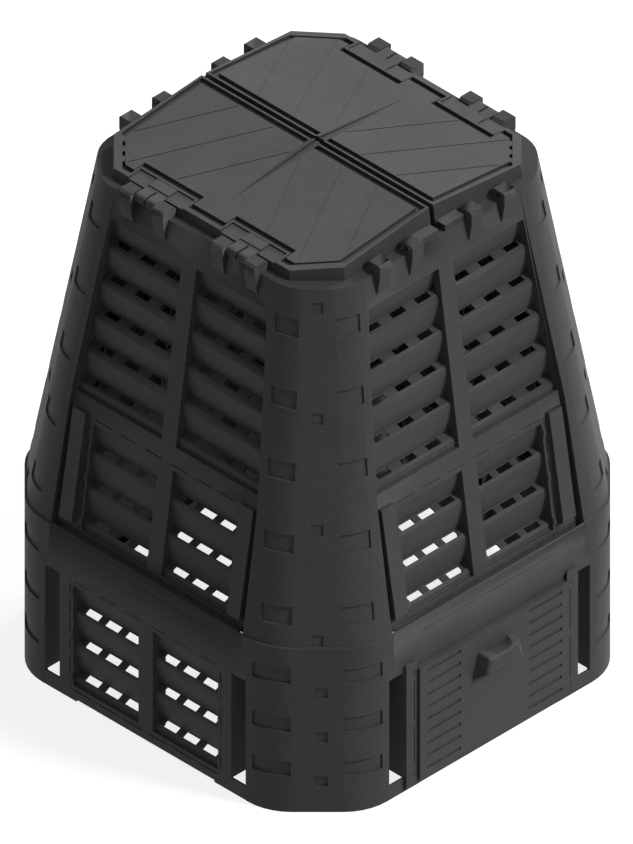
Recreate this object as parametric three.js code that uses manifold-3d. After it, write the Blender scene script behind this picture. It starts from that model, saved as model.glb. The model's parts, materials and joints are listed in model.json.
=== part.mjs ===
// Garden compost bin with a two-flap lid: a square ring on the ground, a tapered body of four
// louvred walls between four rounded corner posts, push-in vent grilles, two slide-up hatches
// and two lid flaps on snap hinges. Millimetres, +Z up, the front is at -Y.
import * as THREE from 'three';
import { mergeVertices } from 'three/addons/utils/BufferGeometryUtils.js';
import Module from 'manifold-3d';

const wasm = await Module();
wasm.setup();

const mix = THREE.MathUtils.lerp;

// Whole bin
const baseHalf = 400; // middle of the bin to the ring's outer face
const seamHeight = 256; // ring below, body above
const bandHeight = 74; // upright foot of the body
const taperHeight = 641; // from there to the rim that the lid lies on
const rimInset = 110; // the rim stands this much further in than the ring
const shoulderStep = 19; // from the band back to the foot of a body wall
const wall = 4; // thickness of walls and plates
const fitGap = 0.3; // between pieces that touch
const overrun = 2; // how far a cutter passes the face it cuts
const shoulderHeight = seamHeight + bandHeight;
const rimHeight = shoulderHeight + taperHeight;
const rimHalf = baseHalf - rimInset;
const footHalf = baseHalf - shoulderStep;
const wallTilt = Math.atan((footHalf - rimHalf) / taperHeight);

// Corner posts
const postWall = 6;
const ringLeg = 119.6; // leg of the diagonal corner cut, on the ring
const ringRadius = 102; // the rounds at both ends of that cut
const rimLeg = 68; // the same at the rim
const rimRadius = 80;
const taperLedge = 4; // step from the band back to the foot of the taper
const ringPostEdge = 5; // flat stretch from the round to a post's inner edge
const bandPostEdge = 15;
const kneePostEdge = 1.2;
const rimPostEdge = 11;
const kneeRise = 233; // above the knee the inner edges lean more
const ringPostReturn = 40; // depth of the return flange inside
const bodyPostReturn = 27;
const arcSteps = 5;
const ledgeSlope = 0.5; // height over which the ledge runs back
const kneeHeight = shoulderHeight + kneeRise;
const cornerTangent = Math.tan(Math.PI / 8);
const ringCorner = { half: baseHalf, leg: ringLeg, radius: ringRadius };

// Size of a corner at a height of the taper: half width, cut and round
function taperCorner(z) {
  const share = (z - shoulderHeight) / taperHeight;
  const footLeg = ringLeg - taperLedge * (2 - Math.SQRT2);
  return {
    half: mix(baseHalf - taperLedge, rimHalf, share),
    leg: mix(footLeg, rimLeg, share),
    radius: mix(ringRadius, rimRadius, share),
  };
}

// Middle of a side to where the corner's round begins
const roundStart = ({ half, leg, radius }) => half - leg - radius * cornerTangent;

const ringPostInner = roundStart(ringCorner) - ringPostEdge;
const bandPostInner = roundStart(ringCorner) - bandPostEdge;
const kneePostInner = roundStart(taperCorner(kneeHeight)) - kneePostEdge;
const rimPostInner = roundStart(taperCorner(rimHeight)) - rimPostEdge;

// Moulded pockets on the posts
const pocketDepth = 3.6;
const pocketHeight = 33;
const pocketFoot = 55; // shoulder to the middle of the lowest pocket
const pocketHead = 71; // middle of the highest pocket to the rim
const pocketCount = 5;
const bandPocketHeight = 29;
const bandPocketFoot = 3; // seam to the pocket on the band
const ringPocketFoot = 87;
const ringPocketPitch = 89;
const ringPocketCount = 2;
const rimPocketOuterShare = 0.1; // of the round's turn, from the side
const rimPocketInnerShare = 0.78;
const footPocketOuterShare = 0.28;
const footPocketInnerShare = 0.98;
const ringPocketOuterShare = 0.12;
const pocketSteps = 3;

// Square clip marks on the posts
const clipSize = 20;
const clipDepth = 2.6;
const clipFoot = 11; // shoulder to the middle of the lowest clip
const clipHead = 34; // middle of the highest clip to the rim
const clipCount = 4;
const ringClipFoot = 62;
const ringClipHead = 16;
const ringClipCount = 3;
const ringClipShift = 7; // beside the middle of the post

// Louvres, in every field and grille
const mullionHalf = 16.6;
const webThickness = 3;
const webDepth = 31;
const sillDepth = 11.5; // of the web below a column
const ledgeDepth = 23; // face to the slots' inner edge
const slotReach = 13; // a slot's way out towards the face
const slotDrop = 6.5; // its fall on that way
const noseDrop = 11;
const noseDepth = 7.5;
const chinDrop = 21;
const chinDepth = 7.5;
const bellyShare = 0.66; // of a blade's height
const bellyDepth = 14;
const bladeThickness = 3;
const bladeLag = 2.5; // the blade's back lies this much lower than its face
const slotsPerRow = 3;
const slotWidth = 31;
const slotEdge = 0.8;
const slotCrowding = 4.3; // a grille's slots stand this much closer than thirds of a column

// Push-in grilles
const railWidth = 25; // upright rail of the ring beside a grille
const ringSlotWidth = 34; // open slot between that rail and the post
const grilleStile = 6;
const grilleRail = 8;
const grilleSlotShift = -2;
const grilleRows = 3;
const grilleFirstRow = 19; // from the opening's foot to the inner edge of its lowest slots
const ringGrilleFoot = 21;
const ringGrilleHead = 17; // grille to the seam
const ringGrilleInset = 0.6;
const bodyGrilleDrop = 5; // the body grille's foot lies this much below the shoulder
const tabCount = 3;
const tabWidth = 5;
const tabHeight = 14;
const tabProud = 2;
const tabMargin = 18;
const snapCount = 6; // open stretches along a grille's upper and lower edges
const snapShare = 0.66; // of their pitch
const snapGap = 1.9;
const railHalf = ringPostInner - ringSlotWidth;
const grilleHalf = railHalf - railWidth;
const grilleHeight = seamHeight - ringGrilleFoot - ringGrilleHead;
const bodyGrilleFoot = shoulderHeight - bodyGrilleDrop;
const grilleSlotPitch = (grilleHalf - grilleStile - mullionHalf) / slotsPerRow - slotCrowding;

// Body walls
const ledgeDrop = 8; // the shoulder falls this much towards the wall
const bandBevel = 2;
const crossBar = 35; // between the grille and the louvred field
const fieldTopMargin = 58; // field to rim
const fieldMargin = 3.4; // from the field to the post
const fieldRows = 5;
const fieldFirstRow = 24.5;
const fieldSlotGap = 27; // between the slots of a row
const fieldSlotShift = 2.5; // outwards from the middle of the column
const stripWidth = 29; // proud strips beside the grille
const stripGap = 6; // grille to strip
const stripFoot = 15; // shoulder to strip
const stripHead = 26; // strip to field
const stripFootProud = 13;
const stripHeadProud = 9;
const shoulderSlotWidth = 17; // open slot at the shoulder, beside the post
const shoulderSlotRise = 6;
const bandLineDrop = 25;
const bandLineMargin = 19;
const bandLineWidth = 1.4;
const bandLineDepth = 0.7;
const fieldBottom = bodyGrilleFoot + grilleHeight * Math.cos(wallTilt) + crossBar;
const fieldTop = rimHeight - fieldTopMargin;
const stripInner = grilleHalf + stripGap;
const stripOuter = stripInner + stripWidth;

// Rim
const rimPlate = 4;
const rimWidth = 78; // outer edge to the mouth
const mouthLeg = 28;
const mouthHalf = rimHalf - rimWidth;

// Ring walls
const railReturn = 40;
const ringSlotHead = 15; // open slot to the seam
const ringSlotFoot = 28; // and the rail's and post's flanges end here
const flangeStub = 1;
const footNotchMargin = 14;
const footNotch = 4;

// Hatches and their guides
const guideWidth = 26; // outer edge of the rail to the hatch
const hatchFoot = 16;
const hatchHead = 16; // hatch to the seam
const hatchProud = 12;
const hatchSkin = 5;
const hatchFlange = 5; // the edge that runs in the guides
const hatchFlangeThickness = 2.4;
const guideProud = 6.4;
const guideLip = 5;
const guideClearance = 0.6;
const guideGrooveOffset = 6.6; // from the hatch's edge
const guideGrooveWidth = 1.8;
const guideGrooveDepth = 1.6;
const guideBridge = 12; // the groove is bridged in three places
const guideBridgeCount = 3;
const guideBridgeFoot = 23; // from the hatch's foot
const guideBridgeHead = 15;
const guideGrooveMargin = 10.8;
const sillHeight = 9;
const doorMargin = 10; // hatch to the opening behind it
const ribCount = 9;
const ribLength = 77;
const ribMargin = 17;
const ribHeight = 6.5;
const ribDepth = 2.6;
const ribFirst = 15;
const ribLast = 7;
const hatchHalf = railHalf - guideWidth;
const hatchHeight = seamHeight - hatchFoot - hatchHead;
const ribPitch = (hatchHeight - ribFirst - ribHeight - ribLast) / (ribCount - 1);

// Hood handle of a hatch
const hoodHead = 34; // hood to the hatch's upper edge
const hoodHeight = 49;
const hoodTopHalf = 39;
const hoodFootHalf = 53;
const hoodDepth = 26;
const hoodLipRise = 19; // the hood's front ends this much above its foot
const hoodRound = 20; // its upper corners
const hoodEdge = 15; // round from its sides to its front
const hoodSteps = 4;
const hoodSkin = 3.5;
const hoodTop = hatchFoot + hatchHeight - hoodHead;
const hoodFoot = hoodTop - hoodHeight;
const hoodLip = hoodFoot + hoodLipRise;

// Snap hinges and the hooks that carry them
const hookWidth = 26;
const hingeShare = 0.6; // of the rim from its middle to the post, to the middle of a hinge
const hookSpreadShare = 0.427; // of the same, between the hooks of a pair
const hookRise = 19;
const hookIn = 17; // the hooks reach in and out from the rim's edge
const hookOut = 13;
const hookRound = 3;
const hookLegDrop = 5;
const hookFootDrop = 38;
const hookFootProud = 2;
const hingeInset = 2; // rim's edge to the hinge axis
const hingeRise = 9; // rim to the hinge axis
const knuckleRadius = 8.5;
const pinRadius = 4;
const pinLength = 7;
const pinClearance = 0.5;
const pinSides = 12;
const tongueClearance = 2;
const tongueSlit = 4.5;
const tongueLip = 26; // hinge axis back to the lip of the tongue
const tongueLipRise = 2;
const tongueThickness = 5;
const notchMargin = 12; // notch round a hinge, beyond its hooks
const hingeMiddle = rimPostInner * hingeShare;
const hookSpread = rimPostInner * hookSpreadShare;
const hookInner = hingeMiddle - hookSpread / 2;
const hookOuter = hingeMiddle + hookSpread / 2;
const hookBack = rimHalf - hookIn;
const hookFront = rimHalf + hookOut;
const hingeBack = rimHalf - hingeInset;
const notchHalf = (hookSpread + hookWidth) / 2 + notchMargin;

// Lid flaps
const lidInset = 29; // rim's edge to the closed lid, at the hinge sides
const lidEndInset = 30; // the same at the front and back
const notchInset = 53; // the same in the notches round the hinges
const lidFlare = 10; // the skirt's foot stands out this much
const lidLeg = 48;
const lidEdgeRise = 16.5; // rim to the lid's top at its hinge sides
const lidRidgeRise = 26.5; // from there to its top at the middle gap
const lidGapHalf = 5;
const lidRail = 5; // raised border
const lidGroove = 6.5; // channel inside the border
const lidGrooveDepth = 4.5;
const lidPlate = 3;
const panelNotchGrow = 5;
const scoreTurnShare = 0.159; // of a half turn
const scoreOffset = 14.3;
const scorePitch = 72.3;
const scoreCount = 3;
const scoreWidth = 2.2;
const scoreDepth = 1.2;
const scoreStart = 22;
const scoreMargin = 3;
const studCount = 5; // studs in the channel across one corner
const studLength = 4;
const studSpread = 46; // first to last
const creaseMargin = 96; // tip of the crease to the hinge side
const creaseHalfWidth = 13;
const creaseRise = 6;
const liftTabInner = 14;
const liftTabMargin = 10; // tab to the inner hook
const liftTabReach = 16;
const liftTabThickness = 5;
const liftTabOuter = hookInner - hookWidth / 2 - liftTabMargin;
const lidHalf = rimHalf - lidInset;
const lidEndHalf = rimHalf - lidEndInset;
const notchEdge = rimHalf - notchInset;
const lidEdgeHeight = rimHeight + lidEdgeRise;
const lidRidgeHeight = lidEdgeHeight + lidRidgeRise;

const quarter = Math.PI / 2;

// Plastics
const plastics = {
  post: new THREE.MeshStandardMaterial({ color: 0x3b3b3c, roughness: 0.62, metalness: 0 }),
  wall: new THREE.MeshStandardMaterial({ color: 0x3f3f40, roughness: 0.6, metalness: 0 }),
  grille: new THREE.MeshStandardMaterial({ color: 0x3d3d3e, roughness: 0.6, metalness: 0 }),
  hatch: new THREE.MeshStandardMaterial({ color: 0x424243, roughness: 0.58, metalness: 0 }),
  lid: new THREE.MeshStandardMaterial({ color: 0x464647, roughness: 0.55, metalness: 0 }),
};

// A solid for joining and cutting, from a closed geometry
function solidOf(geometry) {
  const bare = geometry.index ? geometry.toNonIndexed() : geometry.clone();
  bare.deleteAttribute('normal');
  bare.deleteAttribute('uv');
  const welded = mergeVertices(bare);
  return new wasm.Manifold(new wasm.Mesh({
    numProp: 3,
    vertProperties: new Float32Array(welded.attributes.position.array),
    triVerts: new Uint32Array(welded.index.array),
  }));
}

function join(solids) {
  return solids.reduce((sum, next) => sum.add(next));
}

function cut(solid, cutters) {
  return cutters.reduce((rest, cutter) => rest.subtract(cutter), solid);
}

function meshOf(name, solid, material) {
  const { vertProperties, triVerts } = solid.getMesh();
  const indexed = new THREE.BufferGeometry();
  indexed.setAttribute('position', new THREE.BufferAttribute(vertProperties, 3));
  indexed.setIndex(new THREE.BufferAttribute(triVerts, 1));
  const geometry = indexed.toNonIndexed();
  geometry.computeVertexNormals();
  const mesh = new THREE.Mesh(geometry, material);
  mesh.name = name;
  return mesh;
}

const at = (x, y) => new THREE.Vector2(x, y);

// Outline in x and y, drawn out along z from low to high
function prism(points, low, high, hole) {
  const turned = (line) => (THREE.ShapeUtils.isClockWise(line) ? [...line].reverse() : line);
  const shape = new THREE.Shape(turned(points));
  if (hole) shape.holes.push(new THREE.Path(turned(hole)));
  const geometry = new THREE.ExtrudeGeometry(shape, { depth: high - low, bevelEnabled: false });
  return geometry.translate(0, 0, low);
}

// Profile in y and z, drawn out along x
function prismAlongX(points, low, high) {
  const turned = points.map((p) => at(-p.y, p.x));
  return prism(turned, 0, high - low).rotateY(quarter).translate(low, 0, 0);
}

// Profile in x and z, drawn out along y
function prismAlongY(points, low, high) {
  return prism(points, 0, high - low).rotateX(quarter).translate(0, high, 0);
}

function block(x0, x1, y0, y1, z0, z1) {
  const geometry = new THREE.BoxGeometry(x1 - x0, y1 - y0, z1 - z0);
  return geometry.translate((x0 + x1) / 2, (y0 + y1) / 2, (z0 + z1) / 2);
}

function rectangle(x0, x1, y0, y1) {
  return [at(x0, y0), at(x1, y0), at(x1, y1), at(x0, y1)];
}

// Closed skin through level outlines with the same number of points
function loft(levels) {
  const count = levels[0].points.length;
  const positions = levels.flatMap(({ points, z }) => points.flatMap((p) => [p.x, p.y, z]));
  const index = [];
  for (let level = 0; level + 1 < levels.length; level += 1) {
    for (let i = 0; i < count; i += 1) {
      const a = level * count + i;
      const b = level * count + ((i + 1) % count);
      index.push(a, b, b + count, a, b + count, a + count);
    }
  }
  const last = (levels.length - 1) * count;
  for (const [a, b, c] of THREE.ShapeUtils.triangulateShape(levels[0].points, [])) {
    index.push(c, b, a);
  }
  for (const [a, b, c] of THREE.ShapeUtils.triangulateShape(levels.at(-1).points, [])) {
    index.push(last + a, last + b, last + c);
  }
  const geometry = new THREE.BufferGeometry();
  geometry.setAttribute('position', new THREE.Float32BufferAttribute(positions, 3));
  geometry.setIndex(index);
  return geometry;
}

function cornerAt(z) {
  return z < shoulderHeight ? ringCorner : taperCorner(z);
}

// Centre of the round between a side and the diagonal cut
const roundCentre = (corner) => at(corner.half - corner.radius, roundStart(corner));

// Points of one round, from the side (share 0) to the diagonal cut (share 1)
function roundPoints(centre, radius, fromShare, toShare, steps) {
  return Array.from({ length: steps + 1 }, (_, i) => {
    const angle = (Math.PI / 4) * mix(fromShare, toShare, i / steps);
    return at(centre.x + radius * Math.cos(angle), centre.y + radius * Math.sin(angle));
  });
}

const mirrored = (points) => points.map((p) => at(p.y, p.x)).reverse();

// Outer line of a corner, or a line parallel to it further in
function cornerLine(corner, inset) {
  const first = roundPoints(roundCentre(corner), corner.radius - inset, 0, 1, arcSteps);
  return [...first, ...mirrored(first)];
}

// Section of a corner post: outer skin, two return flanges and the inner skin
function postSection(corner, inner, flange) {
  const { half } = corner;
  const back = inner + postWall;
  return [
    at(half, inner), ...cornerLine(corner, 0), at(inner, half),
    at(inner, half - flange), at(back, half - flange), at(back, half - postWall),
    ...cornerLine(corner, postWall).reverse(),
    at(half - postWall, back), at(half - flange, back), at(half - flange, inner),
  ];
}

// Where a pocket starts and ends on its round, as shares of the round's turn
function pocketShares(z) {
  if (z < shoulderHeight) return [ringPocketOuterShare, footPocketInnerShare];
  const share = (z - shoulderHeight) / taperHeight;
  return [
    mix(footPocketOuterShare, rimPocketOuterShare, share),
    mix(footPocketInnerShare, rimPocketInnerShare, share),
  ];
}

// Shallow pocket on one round of a post, between two heights
function pocket(low, high, flip) {
  const shares = pocketShares((low + high) / 2);
  const levels = [low, high].map((z) => {
    const corner = cornerAt(z);
    const centre = roundCentre(corner);
    const face = roundPoints(centre, corner.radius + overrun, ...shares, pocketSteps);
    const floor = roundPoints(centre, corner.radius - pocketDepth, ...shares, pocketSteps);
    const outline = [...face, ...floor.reverse()];
    return { points: flip ? mirrored(outline) : outline, z };
  });
  return loft(levels);
}

// Square clip recess on the diagonal of a post, shifted beside its middle
function clipRecess(z, shift) {
  const reach = (2 * cornerAt(z).half - cornerAt(z).leg) / Math.SQRT2;
  const rise = clipSize / 2;
  const above = cornerAt(z + rise);
  const below = cornerAt(z - rise);
  const lean = (2 * below.half - below.leg - 2 * above.half + above.leg) / Math.SQRT2;
  const recess = new THREE.BoxGeometry(2 * clipDepth, clipSize, clipSize);
  recess.rotateY(-Math.atan(lean / clipSize)).translate(reach, shift, z);
  return solidOf(recess.rotateZ(Math.PI / 4));
}

function repeat(count, make) {
  return Array.from({ length: count }, (_, i) => make(i));
}

// Heights spread evenly from a first to a last one
function spread(count, first, last) {
  return repeat(count, (i) => mix(first, last, i / (count - 1)));
}

function pockets(heights, height) {
  return heights.flatMap((z) =>
    [false, true].map((flip) => solidOf(pocket(z - height / 2, z + height / 2, flip))));
}

function ringPost() {
  const section = postSection(ringCorner, ringPostInner, ringPostReturn);
  const skin = solidOf(prism(section, 0, seamHeight - fitGap));
  const rows = repeat(ringPocketCount, (i) => ringPocketFoot + i * ringPocketPitch);
  const clips = spread(ringClipCount, ringClipFoot, seamHeight - ringClipHead);
  const edge = ringPostInner;
  const back = baseHalf - ringPostReturn;
  const notch = rectangle(edge - overrun, edge + postWall + overrun,
    back - overrun, baseHalf - postWall - flangeStub);
  const turned = notch.map((p) => at(p.y, p.x)).reverse();
  const notches = [notch, turned].map((outline) => solidOf(prism(outline, -overrun, ringSlotFoot)));
  return cut(skin, [
    ...pockets(rows, bandPocketHeight), ...clips.map((z) => clipRecess(z, ringClipShift)),
    ...notches,
  ]);
}

function bodyPost() {
  const rimCorner = taperCorner(rimHeight);
  const section = (corner, inner) => postSection(corner, inner, bodyPostReturn);
  const skin = loft([
    { points: section(ringCorner, bandPostInner), z: seamHeight },
    { points: section(ringCorner, bandPostInner), z: shoulderHeight - ledgeSlope },
    { points: section(taperCorner(shoulderHeight), bandPostInner), z: shoulderHeight },
    { points: section(taperCorner(kneeHeight), kneePostInner), z: kneeHeight },
    { points: section(rimCorner, rimPostInner), z: rimHeight },
  ]);
  const edge = cornerLine(rimCorner, postWall / 2);
  const plateEdge = postInnerAt(rimHeight - rimPlate);
  const plate = prism([
    at(rimHalf - postWall / 2, plateEdge), ...edge, at(plateEdge, rimHalf - postWall / 2),
    at(plateEdge, mouthHalf), at(mouthHalf - mouthLeg, mouthHalf),
    at(mouthHalf, mouthHalf - mouthLeg), at(mouthHalf, plateEdge),
  ], rimHeight - rimPlate, rimHeight);
  const rows = spread(pocketCount, shoulderHeight + pocketFoot, rimHeight - pocketHead);
  const clips = spread(clipCount, shoulderHeight + clipFoot, rimHeight - clipHead);
  return cut(join([solidOf(skin), solidOf(plate)]), [
    ...pockets(rows, pocketHeight),
    ...pockets([seamHeight + bandPocketFoot + bandPocketHeight / 2], bandPocketHeight),
    ...clips.map((z) => clipRecess(z, 0)),
  ]);
}

// Edge of a body post at a height, below or above the knee
function postInnerAt(z) {
  if (z < shoulderHeight) return bandPostInner;
  const low = (z - shoulderHeight) / (kneeHeight - shoulderHeight);
  const high = (z - kneeHeight) / (rimHeight - kneeHeight);
  return high < 0
    ? mix(bandPostInner, kneePostInner, low)
    : mix(kneePostInner, rimPostInner, high);
}

// Stepped louvre blades as one folded sheet: profile in y (up) and z (out)
function bladeProfile(rows, first, pitch) {
  const face = [];
  for (let row = rows; row >= 0; row -= 1) {
    const top = first + row * pitch;
    face.push(
      at(top, -ledgeDepth),
      at(top - slotDrop, slotReach - ledgeDepth),
      at(top - noseDrop, -noseDepth),
      at(top - chinDrop, -chinDepth),
      at(top - bellyShare * pitch, -bellyDepth),
    );
  }
  face.push(at(first - pitch, -ledgeDepth));
  const back = face.map((p) => at(p.x - bladeLag, p.y - bladeThickness));
  return [...face, ...back.reverse()];
}

// Cutter for one slot through a blade's ledge
function slotCutter(x, top) {
  const run = at(-slotDrop, slotReach);
  const length = run.length();
  const along = run.clone().divideScalar(length);
  const across = at(along.y, -along.x).multiplyScalar(bladeThickness + overrun);
  const start = at(top, -ledgeDepth).addScaledVector(along, slotEdge);
  const end = start.clone().addScaledVector(along, length - 2 * slotEdge);
  const corners = [
    start.clone().add(across), end.clone().add(across),
    end.clone().sub(across), start.clone().sub(across),
  ];
  return solidOf(prismAlongX(corners, x - slotWidth / 2, x + slotWidth / 2));
}

// One column of a louvred opening, to the left (-1) or right (1) of the mullion
function louvreColumn(side, { foot, head, outerFoot, outerHead, rows, firstRow, pitch, shift }) {
  const outline = (grow) => [
    at(side * (mullionHalf - grow), foot - grow), at(side * (outerFoot + grow), foot - grow),
    at(side * (outerHead + grow), head + grow), at(side * (mullionHalf - grow), head + grow),
  ];
  const frame = prism(outline(webThickness), -webDepth, 0, outline(0));
  const span = Math.max(outerFoot, outerHead) + webThickness;
  const below = block(...stretch(side, mullionHalf, outerFoot), foot - webThickness - overrun, foot,
    -webDepth - overrun, -sillDepth);
  const rise = (head - foot) / rows;
  const profile = bladeProfile(rows, foot + firstRow, rise);
  const sheet = solidOf(prismAlongX(profile, -span, span));
  const clip = solidOf(prism(outline(webThickness / 2), -webDepth - overrun, overrun));
  const slots = repeat(rows, (row) => foot + firstRow + row * rise).flatMap((top) => {
    const outer = mix(outerFoot, outerHead, (top - foot) / (head - foot));
    const middle = (mullionHalf + outer) / 2 + shift;
    return repeat(slotsPerRow, (i) =>
      slotCutter(side * (middle + (i - (slotsPerRow - 1) / 2) * pitch), top));
  });
  return {
    opening: solidOf(prism(outline(0), -wall - overrun, overrun)),
    pieces: [cut(solidOf(frame), [solidOf(below)]), cut(sheet.intersect(clip), slots)],
  };
}

// Plate with two louvred columns let into it
function louvredPlate(plate, sizes) {
  const columns = [-1, 1].map((side) => louvreColumn(side, sizes));
  const pierced = cut(plate, columns.map((column) => column.opening));
  return join([pierced, ...columns.flatMap((column) => column.pieces)]);
}

// Low and high end of a stretch on the left (-1) or right (1)
const stretch = (side, a, b) => [side * a, side * b].sort((low, high) => low - high);

// Push-in grille: x across, y up from its foot, face at z 0
function grille() {
  const plate = solidOf(prism(rectangle(-grilleHalf, grilleHalf, 0, grilleHeight), -wall, 0));
  const outer = grilleHalf - grilleStile;
  const body = louvredPlate(plate, {
    foot: grilleRail, head: grilleHeight - grilleRail, outerFoot: outer, outerHead: outer,
    rows: grilleRows, firstRow: grilleFirstRow, pitch: grilleSlotPitch, shift: grilleSlotShift,
  });
  const low = tabMargin + tabHeight / 2;
  const tabs = spread(tabCount, low, grilleHeight - low).flatMap((y) => [-1, 1].map((side) => {
    const ends = stretch(side, grilleHalf, grilleHalf - tabWidth);
    return solidOf(block(...ends, y - tabHeight / 2, y + tabHeight / 2, -wall, tabProud));
  }));
  return join([body, ...tabs]);
}

// Opening for a grille in a wall, with the open stretches beside its snap edges
function grilleOpening(foot) {
  const half = grilleHalf + fitGap;
  const head = foot + grilleHeight + fitGap;
  const pitch = (2 * grilleHalf) / snapCount;
  const middles = repeat(snapCount, (i) => (i + 1 / 2) * pitch - grilleHalf);
  return [
    block(-half, half, foot - fitGap, head, -wall - overrun, overrun),
    ...middles.map((x) => block(x - (snapShare * pitch) / 2, x + (snapShare * pitch) / 2,
      foot - snapGap, head + snapGap, -wall - overrun, overrun)),
  ].map(solidOf);
}

// Turns a piece drawn with y up and z out onto the front of the bin
function standUp(tilt, half, height) {
  const place = new THREE.Group();
  place.rotation.x = quarter - tilt;
  place.position.set(0, -half, height);
  return place;
}

// Length up the leaning wall for a height above the shoulder
const upWall = (z) => (z - shoulderHeight) / Math.cos(wallTilt);

function leaning(geometry) {
  return geometry.rotateX(quarter - wallTilt).translate(0, -footHalf, shoulderHeight);
}

// One rim hook with the socket for a hinge pin on the side facing its partner
function hook(x, facing) {
  const top = rimHeight + hookRise;
  const foot = rimHeight - hookFootDrop;
  const wallAtFoot = rimHalf + hookFootDrop * Math.tan(wallTilt);
  const profile = [
    at(-hookBack, rimHeight - rimPlate / 2), at(-hookBack, top),
    at(-hookFront + hookRound, top), at(-hookFront, top - hookRound),
    at(-hookFront, rimHeight - hookLegDrop), at(-wallAtFoot - hookFootProud, foot),
    at(-wallAtFoot + wall / 2, foot), at(-rimHalf + wall / 2, rimHeight - rimPlate / 2),
  ];
  const arm = solidOf(prismAlongX(profile, x - hookWidth / 2, x + hookWidth / 2));
  const depth = pinLength + pinClearance;
  const radius = pinRadius + pinClearance;
  const socket = new THREE.CylinderGeometry(radius, radius, 2 * depth, pinSides);
  socket.rotateZ(quarter).translate(x + facing * hookWidth / 2, -hingeBack, rimHeight + hingeRise);
  return cut(arm, [solidOf(socket)]);
}

function bodyWall() {
  const edge = (z) => postInnerAt(z) - fitGap;
  const ledge = shoulderHeight - ledgeDrop;
  const over = rimHeight + wall;
  const leafEdge = [ledge, shoulderHeight, kneeHeight, over].map((z) => at(edge(z), upWall(z)));
  const leaf = prism([...leafEdge, ...leafEdge.map((p) => at(-p.x, p.y)).reverse()], -wall, 0);
  const strips = [-1, 1].map((side) => {
    const low = upWall(shoulderHeight + stripFoot);
    const high = upWall(fieldBottom - stripHead);
    return solidOf(prismAlongX([
      at(low, -wall / 2), at(low, stripFootProud), at(high, stripHeadProud), at(high, -wall / 2),
    ], ...stretch(side, stripInner, stripOuter)));
  });
  // The louvred field is drawn on the upright leaf, which is then leant onto its slope
  const pierced = cut(solidOf(leaf), grilleOpening(upWall(bodyGrilleFoot)));
  const louvred = louvredPlate(pierced, {
    foot: upWall(fieldBottom), head: upWall(fieldTop),
    outerFoot: postInnerAt(fieldBottom) - fieldMargin,
    outerHead: postInnerAt(fieldTop) - fieldMargin,
    rows: fieldRows, firstRow: fieldFirstRow, pitch: slotWidth + fieldSlotGap,
    shift: fieldSlotShift,
  });
  const leant = leanSolid(join([louvred, ...strips]));
  const roof = solidOf(block(-bandPostInner, bandPostInner, -baseHalf, 0, rimHeight, over + wall));
  const bandEdge = bandPostInner - fitGap;
  const band = solidOf(prismAlongX([
    at(-baseHalf, seamHeight), at(-baseHalf, shoulderHeight - bandBevel),
    at(-baseHalf + bandBevel, shoulderHeight), at(-footHalf + wall / 2, ledge),
    at(-footHalf + wall / 2, ledge - wall), at(-baseHalf + wall, shoulderHeight - bandBevel - wall),
    at(-baseHalf + wall, seamHeight),
  ], -bandEdge, bandEdge));
  const slots = [-1, 1].map((side) => solidOf(block(
    ...stretch(side, bandEdge - shoulderSlotWidth, bandEdge + overrun),
    -footHalf - overrun, -footHalf + wall + overrun, ledge - wall - overrun, ledge + shoulderSlotRise)));
  const lineHalf = grilleHalf - bandLineMargin;
  const lineHeight = shoulderHeight - bandLineDrop;
  const line = solidOf(block(-lineHalf, lineHalf, -baseHalf - overrun, -baseHalf + bandLineDepth,
    lineHeight - bandLineWidth, lineHeight));
  const plate = solidOf(block(-rimPostInner + fitGap, rimPostInner - fitGap,
    -rimHalf + wall / 2, -mouthHalf, rimHeight - rimPlate, rimHeight));
  const hooks = [-1, 1].flatMap((side) => [
    hook(side * hookInner, side), hook(side * hookOuter, -side),
  ]);
  return join([cut(leant, [roof, ...slots]), cut(band, [line, ...slots]), plate, ...hooks]);
}

// The same solid, leant onto the wall's slope
function leanSolid(solid) {
  return solidOf(leaning(meshOf('', solid, plastics.wall).geometry));
}

// Ring wall: x across, y up, face at z 0; the middle opening takes a grille or a door
function ringWall(openings) {
  const reach = ringPostInner - fitGap;
  const top = seamHeight - fitGap;
  const notchEnd = grilleHalf - footNotchMargin;
  const plate = solidOf(prism(rectangle(-reach, reach, 0, top), -wall, 0));
  const notch = block(-notchEnd, notchEnd, -footNotch, footNotch, -wall - overrun, overrun);
  const sides = [-1, 1].map((side) => {
    const ends = stretch(side, railHalf, ringPostInner + overrun);
    const head = seamHeight - ringSlotHead;
    return solidOf(block(...ends, ringSlotFoot, head, -wall - overrun, overrun));
  });
  const flanges = [-1, 1].map((side) => solidOf(block(
    ...stretch(side, railHalf, railHalf - wall), ringSlotFoot - flangeStub, top,
    -railReturn, -wall / 2)));
  return join([cut(plate, [solidOf(notch), ...openings, ...sides]), ...flanges]);
}

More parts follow.
